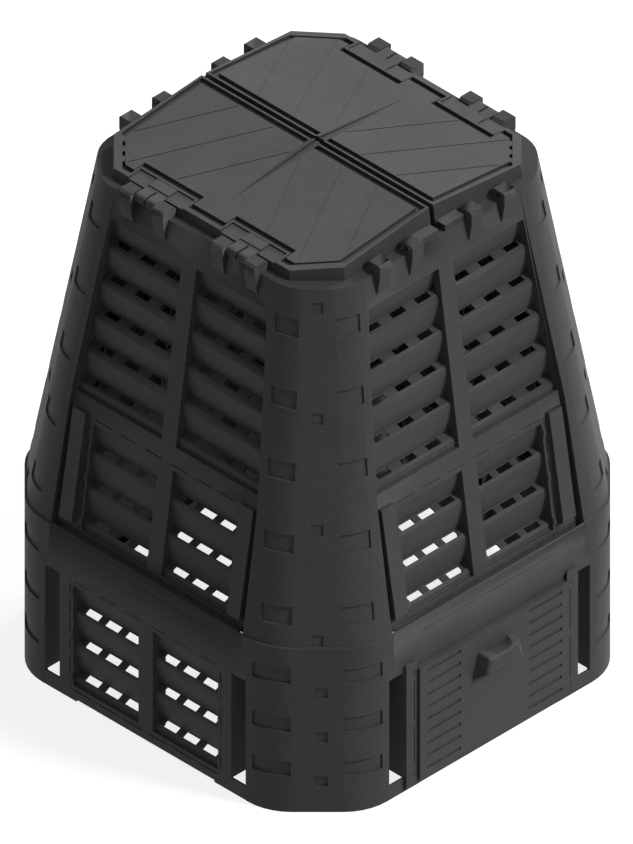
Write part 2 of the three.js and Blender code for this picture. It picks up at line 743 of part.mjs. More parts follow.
// Ring wall of a hatch: door opening, two guides with lips and a sill under the hatch
function hatchRingWall() {
  const doorHalf = hatchHalf - doorMargin;
  const body = ringWall([solidOf(block(-doorHalf, doorHalf, hatchFoot + doorMargin,
    hatchFoot + hatchHeight - doorMargin, -wall - overrun, overrun))]);
  const lipFoot = guideProud - hatchFlangeThickness;
  const sillTop = hatchFoot - fitGap;
  const slide = hatchHalf + hatchFlange + guideClearance;
  const profile = [
    at(railHalf, -wall / 2), at(railHalf, guideProud), at(slide - guideLip, guideProud),
    at(slide - guideLip, lipFoot), at(slide, lipFoot), at(slide, -wall / 2),
  ];
  const guides = [1, -1].map((side) => solidOf(prismAlongY(
    profile.map((p) => at(side * p.x, p.y)), sillTop - sillHeight, seamHeight - fitGap)));
  const sill = block(-railHalf, railHalf, sillTop - sillHeight, sillTop, -wall / 2, guideProud);
  const head = hatchFoot + hatchHeight;
  const middles = spread(guideBridgeCount, hatchFoot + guideBridgeFoot, head - guideBridgeHead);
  const ends = [hatchFoot + guideGrooveMargin - guideBridge / 2, ...middles, head + guideBridge / 2];
  const inner = hatchHalf + guideGrooveOffset;
  const grooves = [-1, 1].flatMap((side) => middles.concat(head).map((y, i) => solidOf(block(
    ...stretch(side, inner, inner + guideGrooveWidth), ends[i] + guideBridge / 2,
    ends[i + 1] - guideBridge / 2, guideProud - guideGrooveDepth, guideProud + overrun))));
  return cut(join([body, solidOf(sill), ...guides]), grooves);
}

// Trapezoid of the hood, rounded at its upper corners, seen from the front
function hoodOutline(inset, foot) {
  const lean = Math.atan((hoodFootHalf - hoodTopHalf) / hoodHeight);
  const halfAt = (y) => hoodTopHalf + (hoodTop - y) * Math.tan(lean) - inset;
  const round = hoodRound - inset;
  const middle = at(halfAt(hoodTop - hoodRound) - round / Math.cos(lean), hoodTop - hoodRound);
  const corner = spread(hoodSteps + 1, lean, quarter).map((turn) =>
    at(middle.x + round * Math.cos(turn), middle.y + round * Math.sin(turn)));
  const right = [at(halfAt(foot), foot), ...corner];
  return [...right, ...right.map((p) => at(-p.x, p.y)).reverse()];
}

// Rounded shell of the hood from the hatch's face outwards, filled
function hoodShell(inset, foot, back) {
  const front = hatchProud + hoodDepth - inset;
  const edge = hoodEdge - inset;
  const rounds = spread(hoodSteps + 1, 0, quarter).map((turn) => ({
    points: hoodOutline(inset + edge * (1 - Math.cos(turn)), foot),
    z: front - edge * (1 - Math.sin(turn)),
  }));
  return solidOf(loft([{ points: hoodOutline(inset, foot), z: back }, ...rounds]));
}

// Hood handle of a hatch, open below for the fingers
function hood() {
  const back = hatchProud - hatchSkin / 2;
  const front = hatchProud + hoodDepth + overrun;
  const reach = hoodFootHalf + overrun;
  const head = hoodTop + overrun;
  const lip = [at(head, back), at(head, front), at(hoodLip, front), at(hoodFoot, back)];
  const skin = hoodShell(0, hoodFoot, back).intersect(solidOf(prismAlongX(lip, -reach, reach)));
  return cut(skin, [hoodShell(hoodSkin, hoodFoot - hoodDepth, hatchProud)]);
}

// Hatch: x across, y up, ring face at z 0
function hatch() {
  const head = hatchFoot + hatchHeight;
  const back = guideClearance;
  const runner = block(-hatchHalf - hatchFlange, hatchHalf + hatchFlange, hatchFoot, head,
    back, back + hatchFlangeThickness);
  const tray = block(-hatchHalf, hatchHalf, hatchFoot, head, back, hatchProud);
  const room = block(-hatchHalf + hatchSkin, hatchHalf - hatchSkin, hatchFoot + hatchSkin,
    head - hatchSkin, -overrun, hatchProud - hatchSkin);
  const ribs = [-1, 1].flatMap((side) => repeat(ribCount, (i) => {
    const foot = hatchFoot + ribFirst + i * ribPitch;
    const ends = stretch(side, hatchHalf - ribMargin - ribLength, hatchHalf - ribMargin);
    return solidOf(block(...ends, foot, foot + ribHeight, hatchProud - ribDepth,
      hatchProud + overrun));
  }));
  const body = cut(join([solidOf(runner), solidOf(tray)]), [solidOf(room), ...ribs]);
  return body.add(hood());
}

const lidSlope = lidRidgeRise / (lidHalf - lidGapHalf);

// Outline of the left flap, with a notch round each hinge; grow moves every edge but the gap's
function flapOutline(grow, gapEdge, notchGrow) {
  const side = -lidHalf - grow;
  const end = lidEndHalf + grow;
  const step = -notchEdge - grow;
  const half = [
    at(gapEdge, end), at(side + lidLeg, end), at(side, end - lidLeg),
    at(side, hingeMiddle + notchHalf + notchGrow), at(step, hingeMiddle + notchHalf + notchGrow),
    at(step, hingeMiddle - notchHalf - notchGrow), at(side, hingeMiddle - notchHalf - notchGrow),
  ];
  return [...half, ...half.map((p) => at(p.x, -p.y)).reverse()];
}

// Moves a piece drawn flat at z 0 onto the sloping top of the left flap
function onLid(geometry) {
  const slope = new THREE.Matrix4().makeShear(0, lidSlope, 0, 0, 0, 0);
  return geometry.applyMatrix4(slope).translate(0, 0, lidRidgeHeight + lidSlope * lidGapHalf);
}

// Scored lines of the left flap, mirrored about its middle and clipped to the raised panel
function scores(panel) {
  const angle = Math.PI * scoreTurnShare;
  const run = at(-Math.cos(angle), Math.sin(angle));
  const across = at(Math.sin(angle), Math.cos(angle));
  return [-1, 1].flatMap((side) => repeat(scoreCount, (i) => {
    const middle = across.clone().multiplyScalar(i * scorePitch - scoreOffset);
    const pastGap = (middle.x + scoreStart) / -run.x;
    const pastCrease = (creaseHalfWidth - middle.y) / run.y;
    const start = middle.clone().addScaledVector(run, Math.max(pastGap, pastCrease));
    const end = start.clone().addScaledVector(run, 2 * lidHalf);
    const width = across.clone().multiplyScalar(scoreWidth / 2);
    const strip = [
      start.clone().sub(width), end.clone().sub(width),
      end.clone().add(width), start.clone().add(width),
    ].map((p) => at(p.x, side * p.y));
    return solidOf(onLid(prism(strip, -scoreDepth, overrun))).intersect(panel);
  }));
}

// Two-fingered tongue with a pin at each side, between a pair of hooks
function tongue(middle) {
  const half = (hookOuter - hookInner - hookWidth) / 2 - tongueClearance;
  const axis = at(-hingeBack, rimHeight + hingeRise);
  const lip = axis.x + tongueLip;
  const top = axis.y + knuckleRadius;
  const inside = -notchEdge + lidPlate;
  const round = Array.from({ length: pinSides / 2 + 1 }, (_, i) => {
    const angle = quarter + (Math.PI * i) / (pinSides / 2);
    return at(axis.x + knuckleRadius * Math.cos(angle), axis.y + knuckleRadius * Math.sin(angle));
  });
  const profile = [
    at(inside, top), at(lip, top + tongueLipRise), at(lip, top), ...round,
    at(lip, top - tongueThickness), at(inside, top - tongueThickness),
  ];
  const arm = solidOf(prismAlongY(profile, middle - half, middle + half));
  const slit = block(axis.x - knuckleRadius - overrun, lip - tongueThickness,
    middle - tongueSlit / 2, middle + tongueSlit / 2,
    axis.y - knuckleRadius - overrun, top + overrun);
  const pins = [-1, 1].map((side) => {
    const length = pinLength + 2 * tongueClearance;
    const pin = new THREE.CylinderGeometry(pinRadius, pinRadius, length, pinSides);
    const place = middle + side * (half + length / 2 - tongueClearance);
    return solidOf(pin.translate(axis.x, place, axis.y));
  });
  return join([cut(arm, [solidOf(slit)]), ...pins]);
}

function lidFlap() {
  const foot = rimHeight + fitGap;
  const gapEdge = -lidGapHalf;
  const tall = lidRidgeHeight + lidPlate;
  const shell = solidOf(loft([
    { points: flapOutline(lidFlare, gapEdge, 0), z: foot },
    { points: flapOutline(0, gapEdge, 0), z: tall },
  ]));
  const under = solidOf(loft([
    { points: flapOutline(lidFlare - lidPlate, gapEdge - lidPlate, lidPlate), z: foot - overrun },
    { points: flapOutline(-lidPlate, gapEdge - lidPlate, lidPlate), z: tall },
  ]));
  const far = 2 * lidHalf;
  const above = (lift) => solidOf(onLid(prism(rectangle(-far, far, -far, far), lift, far)));
  const room = cut(under, [above(-lidPlate - lidGrooveDepth)]);
  const channel = solidOf(onLid(prism(
    flapOutline(-lidRail, gapEdge - lidRail, lidRail), -lidGrooveDepth, overrun,
    flapOutline(-lidRail - lidGroove, gapEdge - lidRail - lidGroove, panelNotchGrow + lidRail),
  )));
  const panel = solidOf(onLid(prism(
    flapOutline(-lidRail - lidGroove - scoreMargin, gapEdge - lidRail - lidGroove - scoreMargin,
      panelNotchGrow + lidRail + scoreMargin), -lidGrooveDepth, overrun)));
  const creaseLength = lidHalf - creaseMargin;
  const cone = new THREE.ConeGeometry(creaseHalfWidth, creaseLength, 4);
  cone.rotateZ(quarter).scale(1, 1, creaseRise / creaseHalfWidth);
  const crease = solidOf(onLid(cone.translate(gapEdge - creaseLength / 2, 0, 0)));
  const lifts = [-1, 1].map((side) => {
    const end = lidEndHalf + lidFlare;
    const ends = stretch(side, end - lidPlate, end + liftTabReach);
    return solidOf(block(-liftTabOuter, -liftTabInner, ...ends,
      foot + fitGap, foot + liftTabThickness));
  });
  const body = cut(shell, [above(0), room, channel, ...scores(panel)]);
  const channelHalf = (lidRail + lidGroove + lidRail) / 2;
  const studs = spread(studCount, -studSpread / 2, studSpread / 2).map((along) => {
    const stud = new THREE.BoxGeometry(2 * channelHalf, studLength, 2 * lidGrooveDepth);
    stud.translate(channelHalf, along, -lidGrooveDepth).rotateZ(-Math.PI / 4);
    const corner = at(-lidHalf + lidLeg / 2, lidEndHalf - lidLeg / 2);
    return solidOf(onLid(stud.translate(corner.x, corner.y, 0))).intersect(shell);
  });
  return join([body, crease, ...studs, ...lifts, tongue(hingeMiddle), tongue(-hingeMiddle)]);
}

const bin = new THREE.Group();

function addTurned(piece, turns) {
  const turn = new THREE.Group();
  turn.rotation.z = turns * quarter;
  turn.add(piece);
  bin.add(turn);
}

function standing(mesh, tilt, half, height) {
  const place = standUp(tilt, half, height);
  place.add(mesh);
  return place;
}

const sides = ['front', 'right', 'back', 'left'];
const corners = ['front_right', 'back_right', 'back_left', 'front_left'];
const parts = {
  bodyWall: bodyWall(), bodyPost: bodyPost(), ringPost: ringPost(), grille: grille(),
  grilleRingWall: ringWall(grilleOpening(ringGrilleFoot)), hatchRingWall: hatchRingWall(), hatch: hatch(), flap: lidFlap(),
};

sides.forEach((side, turns) => {
  const hasHatch = turns % 2 === 0;
  addTurned(meshOf(`body_wall_${side}`, parts.bodyWall, plastics.wall), turns);
  addTurned(standing(meshOf(`body_grille_${side}`, parts.grille, plastics.grille),
    wallTilt, footHalf + bodyGrilleDrop * Math.tan(wallTilt), bodyGrilleFoot), turns);
  const ringSolid = hasHatch ? parts.hatchRingWall : parts.grilleRingWall;
  addTurned(standing(meshOf(`ring_wall_${side}`, ringSolid, plastics.wall), 0, baseHalf, 0), turns);
  if (hasHatch) {
    addTurned(standing(meshOf(`hatch_${side}`, parts.hatch, plastics.hatch), 0, baseHalf, 0), turns);
  } else {
    addTurned(standing(meshOf(`ring_grille_${side}`, parts.grille, plastics.grille),
      0, baseHalf - ringGrilleInset, ringGrilleFoot), turns);
  }
});

corners.forEach((corner, turns) => {
  addTurned(meshOf(`body_post_${corner}`, parts.bodyPost, plastics.post), turns - 1);
  addTurned(meshOf(`ring_post_${corner}`, parts.ringPost, plastics.post), turns - 1);
});

['left', 'right'].forEach((side, half) => {
  addTurned(meshOf(`lid_${side}`, parts.flap, plastics.lid), 2 * half);
});

export default bin;
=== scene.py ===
"""Compost bin with lid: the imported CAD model, softened, finished and lit like the photograph."""
import json
import math

import bmesh
import bpy
from mathutils import Matrix, Vector

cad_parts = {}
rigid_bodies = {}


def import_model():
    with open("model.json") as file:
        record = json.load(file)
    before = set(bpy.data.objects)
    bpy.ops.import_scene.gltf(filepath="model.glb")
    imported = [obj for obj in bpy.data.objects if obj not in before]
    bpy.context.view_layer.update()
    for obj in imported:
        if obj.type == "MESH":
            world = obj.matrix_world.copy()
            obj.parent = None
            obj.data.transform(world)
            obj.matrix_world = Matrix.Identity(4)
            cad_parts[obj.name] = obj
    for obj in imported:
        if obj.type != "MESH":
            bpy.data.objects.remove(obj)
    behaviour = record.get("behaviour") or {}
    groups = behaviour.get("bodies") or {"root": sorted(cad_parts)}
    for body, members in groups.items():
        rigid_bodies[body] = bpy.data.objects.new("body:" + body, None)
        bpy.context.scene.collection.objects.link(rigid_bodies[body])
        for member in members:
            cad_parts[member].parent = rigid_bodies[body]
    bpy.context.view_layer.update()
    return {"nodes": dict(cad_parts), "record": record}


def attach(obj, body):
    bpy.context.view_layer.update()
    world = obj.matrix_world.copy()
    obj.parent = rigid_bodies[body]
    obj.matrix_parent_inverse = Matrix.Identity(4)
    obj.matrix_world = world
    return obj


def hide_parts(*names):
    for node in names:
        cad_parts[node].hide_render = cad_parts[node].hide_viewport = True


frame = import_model()
RECORD = frame["record"]
BODY_OF = {node: body for body, nodes in RECORD["behaviour"]["bodies"].items() for node in nodes}
SLOT_OF = {entry["node"]: entry["material_slot"] for entry in RECORD["subparts"]}

MM = 0.001

# Tone and roughness of each slot, and how much of the tone its tilted faces keep under the painted
# shade
FINISHES = {
    "post": (0.056, 0.62, 1),
    "wall": (0.061, 0.60, 1),
    "grille": (0.058, 0.60, 1),
    "hatch": (0.062, 0.58, 1),
    "lid": (0.089, 0.58, 0.5),
}
# Painted highlight: the rounded edges are this much paler than the faces
EDGE_HIGHLIGHT_TONE = 1.55
# Painted shade on tilted faces: the full tone where the normal's upward share is past the second
# value, the tilted share below the first
SIDE_SHADE_SPAN = (0.8, 0.98)
ROUGHNESS_BELOW = 0.06
ROUGHNESS_ABOVE = 0.08
SPECULAR = 0.12

# Scale, detail and roughness of each noise, then where its two tints start and what they are
MOTTLE = (9.0, 5.0, 0.6)
MOTTLE_SPAN = (0.3, 0.7)
MOTTLE_TINTS = ((0.90, 0.90, 0.91), (1.09, 1.09, 1.10))
SPECKS = (260.0, 3.0, 0.5)
SPECK_SPAN = (0.42, 0.62)
SPECK_TINTS = ((0.93, 0.93, 0.93), (1.07, 1.07, 1.07))
PORES = (900.0, 2.0, 0.5)
PORE_STRENGTH = 0.12
PORE_DEPTH = 0.4 * MM


# Materials
def node_material(name):
    material = bpy.data.materials.new(name)
    material.use_nodes = True
    tree = material.node_tree
    tree.nodes.clear()
    return material, tree


def link(tree, source, target):
    tree.links.new(source, target)


def noise(tree, place, settings):
    """Unevenness in the piece's own coordinates."""
    node = tree.nodes.new("ShaderNodeTexNoise")
    for name, value in zip(("Scale", "Detail", "Roughness"), settings):
        node.inputs[name].default_value = value
    link(tree, place.outputs["Object"], node.inputs["Vector"])
    return node.outputs["Fac"]


def tinted(tree, value, span, tints):
    """From the first tint to the second while the value crosses the span."""
    node = tree.nodes.new("ShaderNodeValToRGB")
    first, second = node.color_ramp.elements
    first.position, second.position = span
    first.color, second.color = [(*tint, 1) for tint in tints]
    link(tree, value, node.inputs["Fac"])
    return node.outputs["Color"]


def multiplied(tree, colour, factor):
    node = tree.nodes.new("ShaderNodeMix")
    node.data_type = "RGBA"
    node.blend_type = "MULTIPLY"
    node.inputs["Factor"].default_value = 1.0
    link(tree, colour, node.inputs["A"])
    link(tree, factor, node.inputs["B"])
    return node.outputs["Result"]


def spread(tree, value, limits):
    """The value brought between limits, which are given by the names of the node's inputs."""
    node = tree.nodes.new("ShaderNodeMapRange")
    for name, limit in limits.items():
        node.inputs[name].default_value = limit
    link(tree, value, node.inputs["Value"])
    return node.outputs["Result"]


def plastic(name, tone, roughness, side_share=1.0):
    """Matt recycled plastic: mottled dark grey with fine grain, its tilted faces painted darker as
    shade, down to the side share.
    """
    material, tree = node_material(name)
    new = tree.nodes.new
    out = new("ShaderNodeOutputMaterial")
    shader = new("ShaderNodeBsdfPrincipled")
    link(tree, shader.outputs["BSDF"], out.inputs["Surface"])
    shader.inputs["Specular IOR Level"].default_value = SPECULAR
    place = new("ShaderNodeTexCoord")

    mottle = noise(tree, place, MOTTLE)
    tints = [[tone * share for share in tint] for tint in MOTTLE_TINTS]
    tones = tinted(tree, mottle, MOTTLE_SPAN, tints)
    flecks = tinted(tree, noise(tree, place, SPECKS), SPECK_SPAN, SPECK_TINTS)
    # Painted shade: faces that tilt away from straight up are darkened towards the side share
    facing = new("ShaderNodeSeparateXYZ")
    link(tree, place.outputs["Normal"], facing.inputs["Vector"])
    low, high = SIDE_SHADE_SPAN
    painted_side_shade = spread(tree, facing.outputs["Z"],
                    {"From Min": low, "From Max": high, "To Min": side_share})
    colour = multiplied(tree, multiplied(tree, tones, flecks), painted_side_shade)
    link(tree, colour, shader.inputs["Base Color"])

    rough = spread(tree, mottle, {"To Min": roughness - ROUGHNESS_BELOW,
                                  "To Max": roughness + ROUGHNESS_ABOVE})
    link(tree, rough, shader.inputs["Roughness"])

    bump = new("ShaderNodeBump")
    bump.inputs["Strength"].default_value = PORE_STRENGTH
    bump.inputs["Distance"].default_value = PORE_DEPTH
    link(tree, noise(tree, place, PORES), bump.inputs["Height"])
    link(tree, bump.outputs["Normal"], shader.inputs["Normal"])
    return material


FACES = {slot: plastic(f"{slot}_plastic", *finish) for slot, finish in FINISHES.items()}
# Painted highlight: each slot's edge material is its face material made paler
EDGE_HIGHLIGHTS = {slot: plastic(f"{slot}_edges", EDGE_HIGHLIGHT_TONE * tone, roughness)
         for slot, (tone, roughness, _) in FINISHES.items()}


# Forms, drawn in millimetres
def solid(points, faces):
    """A closed form from its corners, with its faces turned outward."""
    mesh = bpy.data.meshes.new("form")
    mesh.from_pydata([Vector(point) * MM for point in points], [], faces)
    form = bmesh.new()
    form.from_mesh(mesh)
    bmesh.ops.triangulate(form, faces=form.faces)
    bmesh.ops.recalc_face_normals(form, faces=form.faces)
    form.to_mesh(mesh)
    form.free()
    return mesh


def skin(outlines):
    """Closed skin through outlines in space that have the same number of corners."""
    count = len(outlines[0])
    last = (len(outlines) - 1) * count
    faces = [tuple(range(count)), tuple(range(last, last + count))]
    for low in range(0, last, count):
        for i in range(count):
            after = (i + 1) % count
            faces.append((low + i, low + after, low + count + after, low + count + i))
    return solid([point for line in outlines for point in line], faces)


def rectangle(x, y):
    return [(x[0], y[0]), (x[1], y[0]), (x[1], y[1]), (x[0], y[1])]


def level(points, z):
    return [(x, y, z) for x, y in points]


def box(x, y, z):
    return skin([level(rectangle(x, y), z[0]), level(rectangle(x, y), z[1])])


def stretch(side, a, b):
    """The stretch from a to b along an axis, on one side of the middle."""
    return sorted((side * a, side * b))


def around(middle, radius, angles):
    """Points on a circle."""
    return [(middle[0] + radius * math.cos(a), middle[1] + radius * math.sin(a)) for a in angles]


def together(meshes):
    """Forms that don't meet, as one mesh."""
    form = bmesh.new()
    for mesh in meshes:
        form.from_mesh(mesh)
    joined = bpy.data.meshes.new("forms")
    form.to_mesh(joined)
    form.free()
    return joined


def worked(mesh, tools, operation, solver="MANIFOLD"):
    """The form with the tools' forms cut away, added, or what they have in common.

    The CAD solids need the solver EXACT, because MANIFOLD leaves them uncut.
    """
    scene = bpy.context.scene.collection.objects
    for tool in tools:
        body = bpy.data.objects.new("body", mesh)
        other = bpy.data.objects.new("tool", tool)
        scene.link(body)
        scene.link(other)
        step = body.modifiers.new("step", "BOOLEAN")
        step.operation = operation
        step.solver = solver
        step.object = other
        graph = bpy.context.evaluated_depsgraph_get()
        mesh = bpy.data.meshes.new_from_object(body.evaluated_get(graph))
        bpy.data.objects.remove(body)
        bpy.data.objects.remove(other)
    return mesh


def turned(mesh, quarters):
    """The same form, turned about the bin's middle."""
    mesh.transform(Matrix.Rotation(quarters * math.pi / 2, 4, "Z"))
    return mesh


# How far cuts run past what they cut, and how far additions reach into what carries them
OVERRUN = 2
ROOT = 1

# Lid flaps, with the channel, shelves, crease and skirt of the photograph
RIM = 971
FIT_GAP = 0.3
LID_HALF = 264.4
LID_END = 263.4
LID_FLARE = 6.6
LID_LEG = 60.6
LID_PLATE = 3
LID_RIDGE = 1014
LID_SLOPE = 24.3 / 259.4
GAP_HALF = 5
NOTCH_EDGE = 240
HINGE_MIDDLE = 106.718
NOTCH_HALF = 62.974
NOTCH_GROW = 2
SHELF_DROP = 3
RAIL = 4
CORNER_RAIL = 6
CHANNEL = 11
CHANNEL_DEPTH = 7
# Depth and width of the scores behind the crease, 1, and before it, -1
SCORES = {1: (1.2, 2.2), -1: (0.45, 1.4)}
SCORE_COUNT = 3
SCORE_PITCH = 72.3
SCORE_OFFSET = 14.3
SCORE_START = 22
SCORE_ANGLE = 0.159 * math.pi
SCORE_MARGIN = 3
CREASE_TIP = 192.4
CREASE_END_SHARE = 0.01
CREASE_HALF = 12
CREASE_STEP_TOP = 4.5
CREASE_STEP_FOOT = 0.3
CREASE_CREST = 8
CREASE_RISE = 3.4
# Where the bridges stand along the flap's back corner
STUDS = (31, 5.5, -20.5)
STUD_LENGTH = 14
STUD_DROP = 0.5
TAB_X = (-51.744, -8)
TAB_REACH = 19
TAB_TOP = 12
HINGE_BACK = 288
HINGE_RISE = 9
KNUCKLE = 8.5
TONGUE_HALF = 22.974
TONGUE_CLEARANCE = 2
TONGUE_LIP = 26
TONGUE_LIP_RISE = 2
TONGUE_THICKNESS = 5
TONGUE_DROP = 0.6
TONGUE_SLIT = 4.5
PIN_RADIUS = 4
PIN_LENGTH = 11
PIN_SIDES = 12
# Farther than any flap reaches
FAR = 2 * LID_HALF


def whole(half):
    """The outline of a flap from its back half."""
    return half + [(x, -y) for x, y in reversed(half)]


def flap_edge(grow, gap_edge, corner=0):
    """Back half of the flap's outer edge; grow moves every edge but the gap's."""
    side = -LID_HALF - grow
    end = LID_END + grow
    leg = LID_LEG + grow * (2 - math.sqrt(2)) + corner * math.sqrt(2)
    return [(gap_edge, end), (side + leg, end), (side, end - leg)]


def flap_outline(inset, notch_grow, corner=0):
    """The flap's outline, moved inwards, with a notch round each hinge."""
    side = -LID_HALF + inset
    step = -NOTCH_EDGE + inset
    high = HINGE_MIDDLE + NOTCH_HALF + notch_grow
    low = HINGE_MIDDLE - NOTCH_HALF - notch_grow
    return whole(flap_edge(-inset, -GAP_HALF - inset, corner)
                 + [(side, high), (step, high), (step, low), (side, low)])


def flap_block(inset, foot):
    """The flap's outer form with its flared skirt, moved inwards by the inset."""
    gap_edge = -GAP_HALF - inset
    return skin([level(whole(flap_edge(LID_FLARE - inset, gap_edge)), foot),
                 level(whole(flap_edge(-inset, gap_edge)), LID_RIDGE + LID_PLATE)])


def on_lid(x, lift=0):
    """Height of the flap's sloping top."""
    return LID_RIDGE + LID_SLOPE * (GAP_HALF + x) + lift


def slab(points, low, high):
    """An outline made thick between two distances from the flap's top."""
    return skin([[(x, y, on_lid(x, lift)) for x, y in points] for lift in (low, high)])


def channel():
    """The groove along the flap's edges."""
    inset = RAIL + CHANNEL
    outer = slab(flap_outline(RAIL, RAIL, CORNER_RAIL), -CHANNEL_DEPTH, OVERRUN)
    inner = slab(flap_outline(inset, NOTCH_GROW + RAIL), -CHANNEL_DEPTH - OVERRUN, 2 * OVERRUN)
    return worked(outer, [inner], "DIFFERENCE")


def scores():
    """Scored lines within the channel, deep behind the crease and faint before it."""
    run = Vector((-math.cos(SCORE_ANGLE), math.sin(SCORE_ANGLE)))
    across = Vector((math.sin(SCORE_ANGLE), math.cos(SCORE_ANGLE)))
    strips = []
    for side, (depth, width) in SCORES.items():
        for i in range(SCORE_COUNT):
            middle = across * (i * SCORE_PITCH - SCORE_OFFSET)
            past = max((middle.x + SCORE_START) / -run.x, (CREASE_HALF - middle.y) / run.y)
            start = middle + run * past
            end = start + run * FAR
            edge = across * width / 2
            corners = [start - edge, end - edge, end + edge, start + edge]
            strips.append(slab([(p.x, side * p.y) for p in corners], -depth, OVERRUN))
    panel = slab(flap_outline(RAIL + CHANNEL + SCORE_MARGIN, NOTCH_GROW + RAIL + SCORE_MARGIN),
                 -CHANNEL_DEPTH, OVERRUN)
    return worked(together(strips), [panel], "INTERSECT")


def crease(hand):
    """Raised double fold from the middle gap towards the hinges, steeper on one hand."""
    fold = ((-CREASE_HALF, 0), (0, CREASE_STEP_TOP), (0, CREASE_STEP_FOOT),
            (CREASE_CREST, CREASE_RISE), (CREASE_HALF, 0), (0, -CHANNEL_DEPTH - ROOT))
    ends = []
    for share in (1, CREASE_END_SHARE):
        x = -GAP_HALF - CREASE_TIP * (1 - share)
        ends.append([(x, share * hand * y, on_lid(x, share * lift)) for y, lift in fold])
    return skin(ends)


def stud(along):
    """Small bridge across the channel in the flap's back corner."""
    middle_x = -LID_HALF + LID_LEG / 2
    middle_y = LID_END - LID_LEG / 2
    diagonal = math.sqrt(0.5)
    ends = (along - STUD_LENGTH / 2, along + STUD_LENGTH / 2)
    points = [(middle_x + diagonal * (across + step), middle_y + diagonal * (step - across))
              for across, step in rectangle((0, 2 * RAIL + CHANNEL), ends)]
    return slab(points, -CHANNEL_DEPTH - ROOT, -STUD_DROP)


def tongue(middle):
    """Two-fingered tongue with a pin at each side."""
    axis = (-HINGE_BACK, RIM + HINGE_RISE)
    lip = axis[0] + TONGUE_LIP
    top = axis[1] + KNUCKLE
    under = top - TONGUE_THICKNESS
    root = on_lid(-NOTCH_EDGE, -TONGUE_DROP)
    half_turn = [math.pi * (0.5 + 2 * i / PIN_SIDES) for i in range(PIN_SIDES // 2 + 1)]
    profile = [(-NOTCH_EDGE, root), (lip, top + TONGUE_LIP_RISE), (lip, top),
               *around(axis, KNUCKLE, half_turn), (lip, under), (-NOTCH_EDGE, under)]
    arm = skin([[(x, middle + side * TONGUE_HALF, z) for x, z in profile] for side in (-1, 1)])
    slit = box((axis[0] - KNUCKLE - OVERRUN, lip - TONGUE_THICKNESS),
               (middle - TONGUE_SLIT / 2, middle + TONGUE_SLIT / 2),
               (axis[1] - KNUCKLE - OVERRUN, top + OVERRUN))
    full_turn = [2 * math.pi * i / PIN_SIDES for i in range(PIN_SIDES)]
    pins = []
    for side in (-1, 1):
        near = middle + side * (TONGUE_HALF - TONGUE_CLEARANCE)
        pins.append(skin([[(x, y, z) for x, z in around(axis, PIN_RADIUS, full_turn)]
                          for y in (near, near + side * PIN_LENGTH)]))
    return worked(worked(arm, [slit], "DIFFERENCE"), pins, "UNION")


def flap(hand):
    """The left flap, its crease steeper in front with hand -1 and behind with 1."""
    foot = RIM + FIT_GAP
    everywhere = rectangle((-FAR, FAR), (-FAR, FAR))
    room = worked(flap_block(LID_PLATE, foot - OVERRUN),
                  [slab(everywhere, -LID_PLATE - CHANNEL_DEPTH, FAR)], "DIFFERENCE")
    shelves = []
    for side in (-1, 1):
        middle = side * HINGE_MIDDLE
        notch = rectangle((-FAR, -NOTCH_EDGE), (middle - NOTCH_HALF, middle + NOTCH_HALF))
        shelves.append(slab(notch, -SHELF_DROP, FAR))
    cuts = [slab(everywhere, 0, FAR), *shelves, room, channel(), scores()]
    body = worked(flap_block(0, foot), cuts, "DIFFERENCE")
    end = LID_END + LID_FLARE
    tabs = [box(TAB_X, stretch(side, end - LID_PLATE, end + TAB_REACH),
                (foot + FIT_GAP, foot + TAB_TOP)) for side in (-1, 1)]
    added = [crease(hand), *[stud(along) for along in STUDS], *tabs,
             tongue(HINGE_MIDDLE), tongue(-HINGE_MIDDLE)]
    return worked(body, added, "UNION")


# Walls, with the openings that the photograph shows and the CAD solids lack
SIDES = ("front", "right", "back", "left")
BASE_HALF = 400
SHOULDER = 330
WALL_FOOT = 381
WALL_TILT = 0.141023
WALL = 4
GRILLE_HALF = 174.15
GRILLE_HEIGHT = 218
BODY_GRILLE_FOOT = 325
RING_GRILLE_FOOT = 21
SNAP_GAP = 1.9
SNAP_COUNT = 3
SNAP_SHARE = 0.8
SLOT_X = (206.8, 224.85)
SLOT_Y = (-394, -383)
SLOT_Z = (314, 332)
FILL_X = (205.4, 222.8)
FILL_Y = (-382.2, -378)
FILL_Z = (317, 328.3)
HOOK_BACK = 273
HOOK_TOP = 990
HOOK_EASE = 4
HOOKS_END = 165


def stood_up(mesh, tilt, half, height):
    """Turns a form drawn with y up and z out onto the front of the bin."""
    lean = Matrix.Rotation(math.pi / 2 - tilt, 4, "X")
    mesh.transform(Matrix.Translation(Vector((0, -half, height)) * MM) @ lean)
    return mesh


def snap_gaps(foot):
    """Open stretches beside a grille's upright edges, drawn with y up and z out."""
    rise = GRILLE_HEIGHT / SNAP_COUNT
    half = SNAP_SHARE * rise / 2
    gaps = []
    for i in range(SNAP_COUNT):
        y = foot + (i + 0.5) * rise
        for side in (-1, 1):
            x = stretch(side, GRILLE_HALF - OVERRUN / 2, GRILLE_HALF + SNAP_GAP)
            gaps.append(box(x, (y - half, y + half), (-WALL - OVERRUN, OVERRUN)))
    return together(gaps)


def hook_wedge():
    """What is eased off the inner edge of the rim hooks, so that the turning flap clears them."""
    low = HOOK_TOP - HOOK_EASE - OVERRUN
    high = HOOK_TOP + OVERRUN
    inner = -HOOK_BACK + OVERRUN
    profile = [(inner, low), (-HOOK_BACK - HOOK_EASE - OVERRUN, high), (inner, high)]
    return skin([[(x, y, z) for y, z in profile] for x in (-HOOKS_END, HOOKS_END)])


